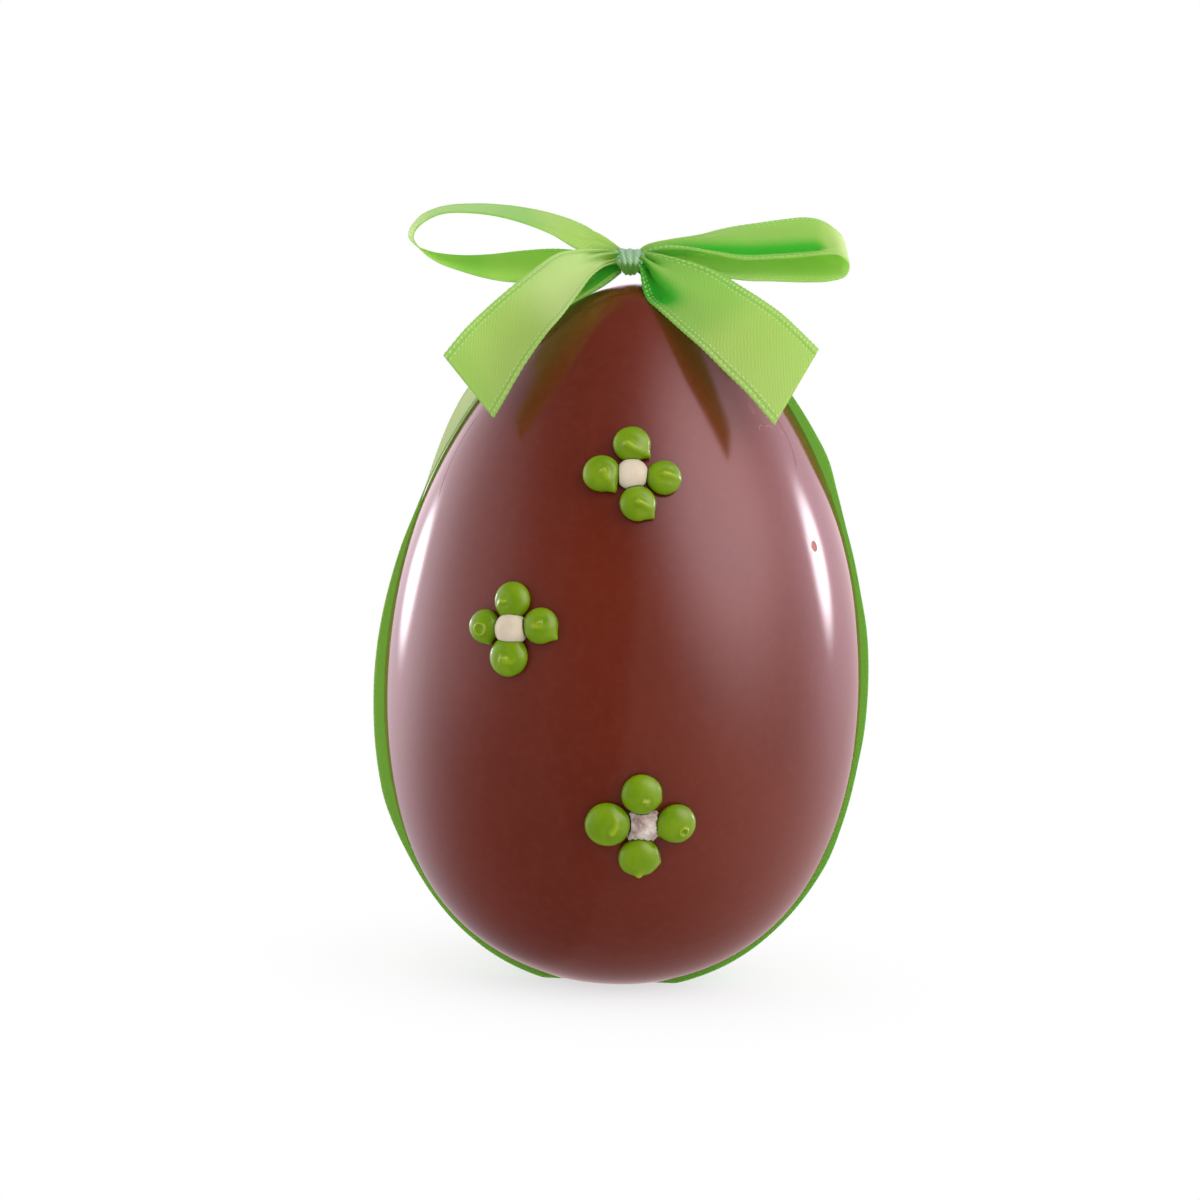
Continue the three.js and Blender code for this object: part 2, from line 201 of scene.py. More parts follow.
surroundings = {"backdrop": 1.0, "fill": 0.84, "mirrored": 0.02, "behind": 8, "aimHeight": 0.085}
floorLook = {
    "radius": 12, "fade": (-0.12, 0.1),
    "surface": {"Roughness": 0.6, "Specular IOR Level": 0.1, "Base Color": (0.84, 0.84, 0.84)},
}


def direction(azimuth, rise):
    turn, rise = math.radians(azimuth), math.radians(rise)
    return Vector((math.sin(turn) * math.cos(rise), -math.cos(turn) * math.cos(rise), math.sin(rise)))


def addSoftbox(name, azimuth, rise, distance, width, height, radiance, edge, tint):
    light = bpy.data.lights.new(name, "AREA")
    light.shape = "RECTANGLE"
    light.size, light.size_y = width, height
    light.energy = radiance * math.pi * width * height
    light.color = tint
    light.use_nodes = True
    tree = light.node_tree
    emission = next(n for n in tree.nodes if n.type == "EMISSION")
    across = splitAxes(tree, geometry(tree, "Parametric"))
    fades = []
    for axis in ("X", "Y"):
        offCentre = maths(tree, "ABSOLUTE", maths(tree, "SUBTRACT", across[axis], 0.5))
        fades.append(mapRange(tree, offCentre, 0.5 - edge, 0.5, 1.0, 0.0))
    tree.links.new(maths(tree, "MULTIPLY", *fades), emission.inputs["Strength"])
    lamp = newObject(name, light)
    outwards = direction(azimuth, rise)
    lamp.location = Vector((0, 0, surroundings["aimHeight"])) + outwards * distance
    lamp.rotation_euler = outwards.to_track_quat("Z", "Y").to_euler()
    lamp.visible_camera = lamp.visible_glossy = False


def mirroredRoom():
    room, taken, given = newGroup("mirroredRoom", ["Vector"], ["Light"])

    def along(axis):
        return vectorMaths(room, "DOT_PRODUCT", taken["Vector"], axis)["Value"]

    total = [surroundings["mirrored"]] * 3
    for azimuth, rise, wide, tall, radiance, hardness, tint in patches:
        middle, side = direction(azimuth, rise), direction(azimuth + 90, 0)
        across, upwards = along(side / wide), along(side.cross(middle) / tall)
        away = maths(room, "MULTIPLY_ADD", across, across, maths(room, "MULTIPLY", upwards, upwards))
        behind = maths(room, "MAXIMUM", along(middle * -surroundings["behind"]), 0.0)
        away = maths(room, "POWER", maths(room, "ADD", away, behind), hardness)
        glow = maths(room, "EXPONENT", maths(room, "MULTIPLY", away, -1.0))
        light = vectorMaths(room, "MULTIPLY", glow, [radiance * part for part in tint])["Vector"]
        total = vectorMaths(room, "ADD", light, total)["Vector"]
    room.links.new(total, given["Light"])
    return room


def addWorld():
    world = bpy.data.worlds.new("studio")
    world.use_nodes = True
    scene.world = world
    tree = world.node_tree
    tree.nodes.clear()
    path = addNode(tree, "LightPath").outputs
    glossy, seen = path["Is Glossy Ray"], path["Is Camera Ray"]
    mirrored = placeGroup(tree, roomGroup, {"Vector": coordinates(tree, "Generated")})["Light"]
    strength = mapRange(tree, glossy, 0, 1, surroundings["fill"], 1, smooth=False)
    strength = maths(tree, "MULTIPLY", strength, maths(tree, "SUBTRACT", 1.0, seen))
    strength = maths(tree, "ADD", strength, maths(tree, "MULTIPLY", seen, surroundings["backdrop"]))
    colour = mixColour(tree, glossy, (1, 1, 1), mirrored)
    background = addNode(tree, "Background", {"Strength": strength, "Color": colour})
    addNode(tree, "OutputWorld", {"Surface": background.outputs[0]})


def fadeInto(tree, shader, strength, share, tint=(1, 1, 1)):  # an even glow in place of a shader
    return mixShaders(tree, share, shader, addNode(tree, "Emission", {"Color": tint, "Strength": strength}))


def addFloor():
    bm = bmesh.new()
    bmesh.ops.create_circle(bm, cap_ends=True, segments=64, radius=floorLook["radius"])
    mesh = bpy.data.meshes.new("floor")
    bm.to_mesh(mesh)
    bm.free()
    floor = newObject("floor", mesh)
    material, tree, shader, output = newMaterial("paleFloor", floorLook["surface"])
    far = vectorMaths(tree, "LENGTH", coordinates(tree, "Object"))["Value"]
    onwards = vectorMaths(tree, "MULTIPLY", geometry(tree, "Incoming"), (-1, -1, -1))["Vector"]
    mirrored = placeGroup(tree, roomGroup, {"Vector": onwards})["Light"]
    shader = fadeInto(tree, shader, surroundings["backdrop"], mapRange(tree, far, *floorLook["fade"]))
    shader = fadeInto(tree, shader, 1.0, addNode(tree, "LightPath").outputs["Is Glossy Ray"], mirrored)
    setSockets(tree, output, {"Surface": shader.outputs[0]})
    mesh.materials.append(material)


roomGroup = mirroredRoom()
for boxName, box in softboxes.items():
    addSoftbox(boxName, *box)
addWorld()
addFloor()
scene.view_settings.view_transform = "Standard"
print("lights and floor ready")


# Meshes

def finishPiece(bm, name, material, node, merge=0.0):
    if merge:
        bmesh.ops.remove_doubles(bm, verts=bm.verts, dist=merge)
        bmesh.ops.recalc_face_normals(bm, faces=bm.faces)
    for face in bm.faces:
        face.smooth = True
    mesh = bpy.data.meshes.new(name)
    bm.to_mesh(mesh)
    bm.free()
    mesh.transform(toMetres)
    mesh.materials.append(material)
    piece = newObject(name, mesh)
    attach(piece, "root")
    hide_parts(node)
    return piece


def spun(profile, axis, steps, merge):
    bm = bmesh.new()
    points = [bm.verts.new(p) for p in profile]
    ring = points + [bm.edges.new(pair) for pair in zip(points, points[1:])]
    bmesh.ops.spin(bm, geom=ring, cent=(0, 0, 0), axis=axis, angle=2 * math.pi, steps=steps, use_merge=True)
    bmesh.ops.remove_doubles(bm, verts=bm.verts, dist=merge)
    return bm


def smoothstep(low, high, value):
    t = min(max((value - low) / (high - low), 0.0), 1.0)
    return t * t * (3 - 2 * t)


def mixed(a, b, t):
    return a + (b - a) * t


def sampled(table, t):  # eases from one (place, value) to the next
    for (a, low), (b, high) in zip(table, table[1:]):
        if t < b:
            return mixed(low, high, smoothstep(a, b, t))
    return table[-1][1]


# Egg

# blunt: the terms in height that make an egg of an ellipse; flatCut: how much is cut off for it to stand on
egg = {
    "length": 162, "halfWidth": 54.4, "blunt": (-0.147, 0.017, -0.104), "flatCut": 2, "base": 0.7,
    "rings": 120, "segments": 200, "merge": 0.01,
}
# the pit that an air bubble left; finer: the faces this near to it are divided again, once for each
pit = {
    "azimuth": 57.07, "height": 105.0, "wide": 1.0, "tall": 1.1, "deep": 0.25, "rim": (0.55, 1.1),
    "finer": (5.0, 3.2, 2.2),
}
chocolate = {
    "ior": 1.5, "dark": (0.108, 0.0135, 0.0045), "light": (0.124, 0.0160, 0.0055), "clouds": 22,
    "specks": 420, "speckColour": (0.15, 0.035, 0.02), "speckShare": 0.22,
    "scuff": (0.46, 0.20, 0.17), "darkLine": (0.16, 0.02, 0.015), "gloss": (0.08, 0.115), "smears": 60,
    "dullHeights": (0.102, 0.132), "dullBy": 0.10, "ripples": 38, "rippleDepth": (0.12, 0.0006),
}
# scuffs and dark lines, where the chocolate is darker and dull: azimuth and height of an ellipse's middle,
# its half width and half height, its lean, and its strength, below 0 for a dark one. A line has its half
# width, which way its drawn part lies from the middle, and how far it is drawn to each side of that
marks = [
    {"at": (57.07, 105.0), "half": (1.1, 1.35), "lean": 0.1, "shade": 1.0},
    {"at": (48.0, 135.0), "half": (0.75, 1.7), "lean": 0.15, "shade": 0.2},
    {"at": (49.3, 130.5), "half": (1.0, 1.0), "lean": 0.3, "shade": 0.6, "line": (0.2, 1.9, 1.0)},
    {"at": (53.4, 130.5), "half": (1.3, 0.9), "lean": -0.1, "shade": 0.6, "line": (0.22, 1.5, 1.1)},
    {"at": (59.6, 129.6), "half": (0.5, 0.5), "lean": 0.0, "shade": 0.5},
    {"at": (58.7, 127.5), "half": (0.35, 0.4), "lean": 0.0, "shade": 0.4},
    {"at": (57.0, 127.6), "half": (3.6, 7.5), "lean": 0.0, "shade": -0.6, "line": (0.2, 0.0, 0.75)},
    {"at": (-64.0, 121.0), "half": (4.8, 13.0), "lean": 0.0, "shade": -0.5, "line": (0.3, 3.14, 0.7)},
]
noiseSpan = (0.3, 0.7)  # where most of a noise's values lie


def eggRadius(s):
    b1, b2, b3 = egg["blunt"]
    return egg["halfWidth"] * math.sqrt(max(0.0, 1 - s * s)) * (1 + b1 * s + b2 * s * s + b3 * s ** 3)


def eggLevel(s):
    return (s + 1) * egg["length"] / 2 - egg["flatCut"] + egg["base"]


def sOfHeight(height):
    return (height - egg["base"] + egg["flatCut"]) * 2 / egg["length"] - 1


def eggNormal(s):  # in the profile's plane: outwards and upwards
    ahead, behind = min(s + 0.002, 1), s - 0.002
    along = Vector((eggRadius(ahead) - eggRadius(behind), eggLevel(ahead) - eggLevel(behind))).normalized()
    return Vector((along.y, -along.x))


def onEgg(azimuth, height, lift=0.0):
    s = sOfHeight(height)
    normal, turn = eggNormal(s), math.radians(azimuth)
    radius, level = eggRadius(s) + normal.x * lift, eggLevel(s) + normal.y * lift
    return Vector((radius * math.sin(turn), -radius * math.cos(turn), level))


def holderOnEgg(azimuth, height, right, above):
    middle = sOfHeight(height)
    s = sOfHeight(height + above * eggNormal(middle).x)
    normal = eggNormal(s)
    turn = math.radians(azimuth) + right / eggRadius(middle)
    xAxis = Vector((math.cos(turn), math.sin(turn), 0))
    zAxis = Vector((normal.x * math.sin(turn), -normal.x * math.cos(turn), normal.y))
    place = Vector((eggRadius(s) * math.sin(turn), -eggRadius(s) * math.cos(turn), eggLevel(s)))
    return holderAt(place, xAxis, zAxis.cross(xAxis), zAxis)


def markMasks():  # pale marks and dark lines
    group, taken, given = newGroup("markMasks", ["Vector"], ["Pale", "Dark"])
    totals = {"Pale": 0.0, "Dark": 0.0}
    for mark in marks:
        holder = holderOnEgg(*mark["at"], 0, 0) @ Matrix.Rotation(mark["lean"], 4, "Z")
        *axes, middle = (column.xyz for column in holder.col)
        away = vectorMaths(group, "SUBTRACT", taken["Vector"], middle * millimetre)["Vector"]
        across, upwards, outwards = (
            vectorMaths(group, "DOT_PRODUCT", away, axis / millimetre / half)["Value"]
            for axis, half in zip(axes, (*mark["half"], 1))
        )
        squared = maths(group, "MULTIPLY_ADD", across, across, maths(group, "MULTIPLY", upwards, upwards))
        reach = maths(group, "SQRT", squared)
        if "line" in mark:
            width, towards, span = mark["line"]
            off = maths(group, "ABSOLUTE", maths(group, "SUBTRACT", reach, 1.0))
            share = width / min(mark["half"])
            turned = maths(group, "SUBTRACT", maths(group, "ARCTAN2", upwards, across), towards)
            apart = maths(group, "ARCCOSINE", maths(group, "COSINE", turned))
            drawn = mapRange(group, apart, span * 1.6, span * 0.9)
            mask = maths(group, "MULTIPLY", mapRange(group, off, share, share * 0.3), drawn)
        else:
            mask = mapRange(group, reach, 1.1, 0.75)
        mask = maths(group, "MULTIPLY", mask, mapRange(group, outwards, -20, -10))  # not on the far side too
        which = "Pale" if mark["shade"] > 0 else "Dark"
        totals[which] = maths(group, "MULTIPLY_ADD", mask, abs(mark["shade"]), totals[which])
    for which, total in totals.items():
        group.links.new(total, given[which])
    return group


def chocolateMaterial():
    material, tree, shader, output = newMaterial("milkChocolate", {"IOR": chocolate["ior"]})
    coords = coordinates(tree, "Object")
    clouds = mapRange(tree, noiseValue(tree, coords, chocolate["clouds"], 3), *noiseSpan)
    colour = mixColour(tree, clouds, chocolate["dark"], chocolate["light"])
    specks = noiseValue(tree, coords, chocolate["specks"], 4, 0.6)
    specks = mapRange(tree, specks, 0.35, 0.8, 0, chocolate["speckShare"])
    colour = mixColour(tree, specks, colour, chocolate["speckColour"])
    masks = placeGroup(tree, markMasks(), {"Vector": coords})
    colour = mixColour(tree, masks["Pale"], colour, chocolate["scuff"])
    colour = mixColour(tree, masks["Dark"], colour, chocolate["darkLine"])
    drawnOut = vectorMaths(tree, "MULTIPLY", coords, (1, 1, 0.35))["Vector"]
    smears = noiseValue(tree, drawnOut, chocolate["smears"], 3, 0.55)
    gloss = mapRange(tree, smears, 0.25, 0.75, *chocolate["gloss"])
    # less polished towards the tip
    dull = mapRange(tree, splitAxes(tree, coords)["Z"], *chocolate["dullHeights"], 0, chocolate["dullBy"])
    ripples = noiseValue(tree, coords, chocolate["ripples"], 2, 0.4)
    ripples = bumpNormal(tree, ripples, *chocolate["rippleDepth"])
    rough = maths(tree, "ADD", gloss, dull)
    setSockets(tree, shader, {"Base Color": colour, "Roughness": rough, "Normal": ripples})
    matt = addNode(tree, "BsdfDiffuse", {"Color": colour})
    share = maths(tree, "ADD", masks["Pale"], masks["Dark"], clamp=True)
    setSockets(tree, output, {"Surface": mixShaders(tree, share, shader, matt).outputs[0]})
    return material


def addEgg():
    low = math.asin(sOfHeight(egg["base"]))
    profile = [(0, 0, egg["base"]), (eggRadius(math.sin(low)) * 0.5, 0, egg["base"])]
    for i in range(egg["rings"]):
        s = math.sin(mixed(low, math.pi / 2, i / egg["rings"]))
        profile.append((eggRadius(s), 0, eggLevel(s)))
    profile.append((0, 0, eggLevel(1)))
    bm = spun(profile, up, egg["segments"], egg["merge"])
    bmesh.ops.recalc_face_normals(bm, faces=bm.faces)
    at = onEgg(pit["azimuth"], pit["height"])
    for reach in pit["finer"]:
        near = [e for e in bm.edges if all((v.co - at).length < reach for v in e.verts)]
        bmesh.ops.subdivide_edges(bm, edges=near, cuts=1, use_grid_fill=True)
    out = (onEgg(pit["azimuth"], pit["height"], 1) - at).normalized()
    side = up.cross(out).normalized()
    high = out.cross(side)
    for vert in bm.verts:
        away = vert.co - at
        if away.length < pit["finer"][1]:
            spread = math.hypot(away.dot(side) / pit["wide"], away.dot(high) / pit["tall"])
            vert.co -= out * pit["deep"] * (1 - smoothstep(*pit["rim"], spread))
    finishPiece(bm, "egg_shell", chocolateMaterial(), "egg")


addEgg()
print("egg ready")


# Icing drops

# at: right and up from the flower's middle; nib: angle and reach of the point that was pulled out; ridges:
# what the piping bag left on top, each a height, width and course; ring: a sunken tip's place and radius
flowers = {
    "upper": {
        "azimuth": -0.7, "height": 120.3, "centre": {"at": (0.3, 0.2), "across": 7.2, "tall": 3.6},
        "drops": {
            "top": {
                "at": (-0.1, 7.1), "across": 8.3, "tall": 3.9, "nib": (-0.6, 0.27),
                "ridges": [(0.8, 0.8, (-0.9, -1.0), (0.4, -1.8), (2.8, -2.6))],
            },
            "left": {
                "at": (-6.3, 0.0), "across": 8.4, "tall": 3.9, "nib": (-0.84, 0.36),
                "ridges": [(0.75, 0.7, (0.9, -0.25), (0.1, -0.6)), (0.35, 0.8, (0.9, -0.5), (2.6, -2.8))],
            },
            "right": {
                "at": (7.2, -0.3), "across": 7.9, "tall": 3.6,
                "ridges": [(0.75, 0.75, (-0.3, 0.05), (0.9, -0.15), (3.1, -0.7))],
            },
            "bottom": {
                "at": (1.7, -6.5), "across": 8.0, "tall": 3.8, "nib": (-0.72, 0.27),
                "ridges": [(0.75, 0.7, (0.1, -0.4), (1.0, -0.7), (2.4, -1.3), (3.2, -1.3))],
            },
        },
    },
    "middle": {
        "azimuth": -27.5, "height": 86.1, "centre": {"at": (0.2, -0.2), "across": 7.7, "tall": 4.4},
        "drops": {
            "top": {
                "at": (-0.5, 6.0), "across": 8.5, "tall": 3.9,
                "ridges": [(0.6, 0.5, (-0.5, -0.5), (-1.5, -0.6), (-2.1, -1.7))],
            },
            "left": {
                "at": (-6.8, -0.2), "across": 7.6, "tall": 3.6, "nib": (-1.1, 0.2), "ring": (0.5, -0.8, 1.25),
            },
            "right": {
                "at": (6.9, 1.2), "across": 8.0, "tall": 3.8, "nib": (-0.57, 0.27),
                "ridges": [(0.8, 0.5, (0.55, 0.6), (0.75, 0.2)), (0.4, 0.7, (-0.3, -0.2), (2.3, -0.6))],
            },
            "bottom": {
                "at": (0.2, -6.1), "across": 9.0, "tall": 4.2,
                "ridges": [
                    (0.6, 0.45, (0.6, -0.3), (-0.3, -0.3), (-0.5, -1.6)),
                    (0.4, 0.9, (0.6, -0.8), (1.9, -1.1), (3.3, -0.3)),
                ],
            },
        },
    },
    "lower": {
        "azimuth": 5.7, "height": 44.6,
        "centre": {"at": (0.3, 0.1), "across": 8.4, "tall": 2.5, "scraped": 0.13},
        "drops": {
            "top": {
                "at": (-0.5, 7.5), "across": 9.0, "tall": 4.2, "nib": (-0.3, 0.08),
                "ridges": [(0.55, 0.45, (0.2, -0.8), (1.1, -0.9), (1.0, -1.7), (0.2, -1.6))],
            },
            "left": {
                "at": (-7.4, 0.3), "across": 10.0, "tall": 4.6,
                "ridges": [(0.7, 0.75, (1.2, -0.8), (1.9, 0.5), (1.9, 1.7), (1.2, 2.8))],
            },
            "right": {
                "at": (7.4, 0.9), "across": 8.9, "tall": 4.1, "nib": (-2.6, 0.15), "ring": (1.2, -0.95, 0.9),
            },
            "bottom": {
                "at": (-0.1, -7.2), "across": 9.2, "tall": 4.3, "nib": (-0.2, 0.13),
                "ridges": [(0.7, 0.8, (0.0, -3.3), (0.0, -2.0))],
            },
        },
    },
}
icing = {
    "segments": 72, "rings": 30, "foot": -0.42, "footWidth": 0.36, "widest": 0.3, "undercut": 0.68,
    "roundness": (0.92, 1.05), "onTop": (0.3, 0.5), "ridgeFall": 0.8, "trough": 0.25, "troughAt": 1.9,
    "ringWidth": 0.24, "ringHeight": 0.42, "ringDip": 0.3, "nibSpread": 0.5, "nibLevels": (0.2, 0.8),
    "wobble": 0.025, "gap": 0.05, "merge": (0.005, 0.002),
    "surface": {"IOR": 1.38, "Subsurface Scale": 0.0016, "Subsurface Radius": (1.0, 0.8, 0.3)},
}


def icingMottle():
    group, taken, given = newGroup("icingMottle", ["Vector"], ["Mottle", "Height"])
    mottle = noiseValue(group, taken["Vector"], 260, 3, 0.5)
    group.links.new(mapRange(group, mottle, *noiseSpan), given["Mottle"])
    group.links.new(noiseValue(group, taken["Vector"], 700, 3, 0.55), given["Height"])
    return group


mottleGroup = icingMottle()


def icingMaterial(name, dark, light, highlightTint, roughness, soaks, grain):
    material, tree, shader, _ = newMaterial(name, {**icing["surface"], "Subsurface Weight": soaks})
    effect = placeGroup(tree, mottleGroup, {"Vector": coordinates(tree, "Object")})
    # painted highlight on ridges, rings and pulled tips
    paintedRidgeHighlight = mapRange(tree, attribute(tree, "paintedRidgeHighlight")["Fac"], 0.1, 1.0, 0, 0.7)
    colour = mixColour(tree, paintedRidgeHighlight, mixColour(tree, effect["Mottle"], dark, light), highlightTint)
    rough = mapRange(tree, effect["Mottle"], 0, 1, roughness - 0.03, roughness + 0.03)
    normal = bumpNormal(tree, effect["Height"], grain, 0.0002)
    setSockets(tree, shader, {"Base Color": colour, "Roughness": rough, "Normal": normal})
    return material


# colours of the darker and lighter parts and of the painted highlight on ridges, roughness, how much light
# soaks in, grain
green = ((0.130, 0.240, 0.003), (0.165, 0.280, 0.004), (0.30, 0.40, 0.006), 0.15, 0.12, 0.03)
cream = ((0.56, 0.475, 0.355), (0.63, 0.54, 0.42), (0.63, 0.54, 0.42), 0.45, 0.15, 0.15)
scraped = ((0.29, 0.19, 0.165), (0.66, 0.57, 0.52), (0.6, 0.5, 0.46), 0.4, 0.1, 0.9)
greenMaterial = icingMaterial("greenIcing", *green)
creamMaterial = icingMaterial("creamIcing", *cream)
scrapedMaterial = icingMaterial("scrapedIcing", *scraped)


def dome(drop):
    half, tall, foot = drop["across"] / 2, drop["tall"], icing["foot"]
    profile = [(0, 0, foot), (2 * half * icing["footWidth"], 0, foot)]
    widest, steps, under = icing["widest"] * tall, icing["rings"] // 4, icing["undercut"]
    for i in range(steps):
        angle = mixed(-under, 0, i / steps)
        level = mixed(foot, widest, 1 + math.sin(angle) / math.sin(under))
        profile.append((half * math.cos(angle), 0, level))
    sideways, upwards = icing["roundness"]
    for i in range(icing["rings"]):
        angle = i / icing["rings"] * math.pi / 2
        level = widest + (tall - widest) * math.sin(angle) ** upwards
        profile.append((half * math.cos(angle) ** sideways, 0, level))
    profile.append((0, 0, tall))
    return spun(profile, up, icing["segments"], icing["merge"][0])


def alongCourse(point, course):
    best, gone = (9.0, 0.0), 0.0
    for start, end in zip(course, course[1:]):
        line = end - start
        share = min(max((point - start).dot(line) / line.length_squared, 0), 1)
        best = min(best, ((point - start - line * share).length, gone + share * line.length))
        gone += line.length
    return best[0], best[1] / gone


def shapeDrop(vert, drop, paintedRidgeHighlightLayer):
    x, y, z = vert.co
    flat = Vector((x, y))
    high = z / drop["tall"]
    outwards = Vector((x / drop["across"] * 2, y / drop["across"] * 2, 0.5 + high)).normalized()
    top = smoothstep(*icing["onTop"], high)
    lift, paintedRidgeHighlight = 0.0, 0.0
    for height, width, *course in drop.get("ridges", []):
        distance, share = alongCourse(flat, [Vector(p) for p in course])
        crest = math.exp(-(distance / width) ** 2) * (1 - icing["ridgeFall"] * share)
        trough = math.exp(-((distance - width * icing["troughAt"]) / width) ** 2) * (1 - share)
        lift += height * (crest - icing["trough"] * trough)
        paintedRidgeHighlight = max(paintedRidgeHighlight, crest)
    if "ring" in drop:
        ringX, ringY, radius = drop["ring"]
        distance = (flat - Vector((ringX, ringY))).length
        crest = math.exp(-((distance - radius) / icing["ringWidth"]) ** 2)
        lift += icing["ringHeight"] * crest - icing["ringDip"] * math.exp(-(distance / (radius * 0.6)) ** 2)
        paintedRidgeHighlight = max(paintedRidgeHighlight, crest)
    place = Vector((x, y, z)) + outwards * lift * top
    if "nib" in drop:
        angle, reach = drop["nib"]
        away = abs((math.atan2(y, x) - angle + math.pi) % (2 * math.pi) - math.pi)
        pulled = reach * max(0.0, 1 - away / icing["nibSpread"]) ** 2.2
        pulled *= 1 - smoothstep(*icing["nibLevels"], high)
        place.x *= 1 + pulled
        place.y *= 1 + pulled
        paintedRidgeHighlight += pulled
    # painted highlight: ridges, rings and pulled tips are coloured paler
    vert[paintedRidgeHighlightLayer] = min(1.0, paintedRidgeHighlight * max(top, 0.4))
    vert.co = place


def hashOf(*words):  # a fixed number for each piece, so that no two wobble alike
    return sum(ord(letter) * (i + 3) for i, letter in enumerate("".join(words))) % 97


def addFlower(name, flower):
    def setOnEgg(bm, drop, piece, node, material):
        holder = holderOnEgg(flower["azimuth"], flower["height"], *drop["at"])
        bmesh.ops.transform(bm, matrix=holder, verts=bm.verts)
        finishPiece(bm, f"icing_{name}_{piece}", material, f"flower_{name}_{node}", icing["merge"][1])

    for side, drop in flower["drops"].items():
        bm = dome(drop)
        paintedRidgeHighlightLayer = bm.verts.layers.float.new("paintedRidgeHighlight")
        for vert in bm.verts:
            shapeDrop(vert, drop, paintedRidgeHighlightLayer)
            wobble = noise.noise(vert.co * 0.25 + Vector((hashOf(name, side), 0, 0)))
            vert.co += Vector((vert.co.x, vert.co.y, 0)) * icing["wobble"] * wobble
        setOnEgg(bm, drop, side, "drop_" + side, greenMaterial)
    centre = flower["centre"]
    bm = dome(centre)
    if "scraped" in centre:
        for vert in bm.verts:
            rough = noise.noise(vert.co * 1.3) + 0.6 * noise.noise(vert.co * 3.1)
            vert.co *= 1 + centre["scraped"] * rough * smoothstep(0, 1, vert.co.z)
    squeezeCentre(bm, flower)
    material = scrapedMaterial if "scraped" in centre else creamMaterial
    setOnEgg(bm, centre, "centre", "centre", material)


def squeezeCentre(bm, flower):  # the four drops press the centre in
    middle = Vector(flower["centre"]["at"])
    for vert in bm.verts:
        flat = Vector((vert.co.x, vert.co.y)) + middle
        for drop in flower["drops"].values():
            away = flat - Vector(drop["at"])
            widest = icing["widest"] * drop["tall"]
            level = min(max((vert.co.z - widest) / (drop["tall"] - widest), 0), 0.98)
            clear = drop["across"] / 2 * math.sqrt(1 - level ** 2) + icing["gap"]
            if away.length < clear:
                flat = Vector(drop["at"]) + away.normalized() * clear
        vert.co.x, vert.co.y = flat - middle


for flowerName, flower in flowers.items():
    addFlower(flowerName, flower)
print("flowers ready")


# Ribbon

knot = {
    "at": (-2.6, 0, 165.4), "half": (4.9, 6.2, 3.3), "pleats": 5, "rings": 66, "segments": 96, "deep": 0.08,
    "fan": (0.16, 0.05), "waist": 0.05, "narrow": 0.6, "pleatShade": 0.42, "merge": 0.0005,
    # colours: a paler, bluer copy of the satin's, with near-white painted sheen in its lighter tone, and a
    # near-black green for the painted shade in its pleats and the painted shadow under it
    "colours": ((0.26, 0.58, 0.34), (0.90, 1.0, 0.92), (0.01, 0.10, 0.02), (0.26, 0.58, 0.34)),
}
ribbon = {
    "width": 20, "thick": 0.3, "picot": 1.3, "tooth": 0.07, "across": 32, "tuck": (2.2, 0.8), "lowest": 0.2,
    "pleats": 2.5, "pleatDepth": 1.5,
    # colours: the twill's deeper and lighter tones, the deep green of the painted shade in creases, pleats
    # and shaded inner faces, and the inner face's own colour
    "colours": ((0.45, 0.625, 0.15), (0.66, 0.76, 0.25), (0.008, 0.49, 0.025), (0.58, 0.78, 0.20)),
}
# near and far: the two edges from end to end; bow: how far it bulges, and towards which edge; tucks: which
# ends go on into the knot; faces: which side is the outer one; gather and shaded: the shares from the knot
# over which the pleats and the painted shade of the inner face fade; plainAndSheen: the shares from the
# middle over which the weave comes in, with a little painted sheen where it is plain; paintedLight: the
# painted sheen (above 0) and painted shade (below 0) at a share; creases: across, width, depth, from, to, the
# share of its length from which it fades, and its painted shade (painted sheen where below 0)
leftLoop = {
    "near": [
        (-6.4, -3, 167.5), (-10.1, -5.5, 168.5), (-14.4, -8, 169.5), (-20.6, -9.5, 172), (-29.8, -10, 174.3),
        (-38.1, -10, 175.3), (-46, -10, 174.7), (-50.7, -10, 171.8), (-51.9, -10, 169.3), (-50.2, -10, 166.7),
        (-46.5, -10, 164.1), (-40.5, -10, 162.1), (-33.7, -10, 160.6), (-28, -9.5, 160.2), (-20.6, -7, 161.3),
        (-12.8, -4.5, 163.9), (-6.4, -3, 165.9),
    ],
    "far": [
        (-6.4, 3, 168.2), (-11.4, 5, 172), (-15.7, 8, 173.8), (-22.7, 9.5, 175.6), (-30.8, 10, 176.6),
        (-38.9, 10, 176.7), (-46.5, 10, 175.7), (-51.6, 10, 173.1), (-53.9, 10, 168.9), (-51.9, 10, 166.5),
        (-48.3, 10, 165.2), (-41.9, 10, 164.7), (-35, 10, 165.2), (-27.6, 9, 166.4), (-19.8, 7, 167.3),
        (-11.9, 4.5, 167.1), (-6.4, 3, 166.6),
    ],
    "bow": (0, 1), "tucks": (True, True), "gather": (0.05, 0.22), "faces": -1,
    "plainAndSheen": (0.2, 0.32), "shaded": (0.0, 0.12),
    "creases": [(0.3, 0.12, 0.5, 0.03, 0.3, 0.3, 0.2), (0.0, 0.4, -1.9, 0.0, 0.3, 0.35, 0)],
    "paintedLight": [
        (0, -0.15), (0.14, 0.4), (0.27, -0.45), (0.4, -0.35), (0.5, 0.4), (0.6, -0.2), (0.68, -0.4),
        (0.8, 0.25), (1, 0.1),
    ],
}
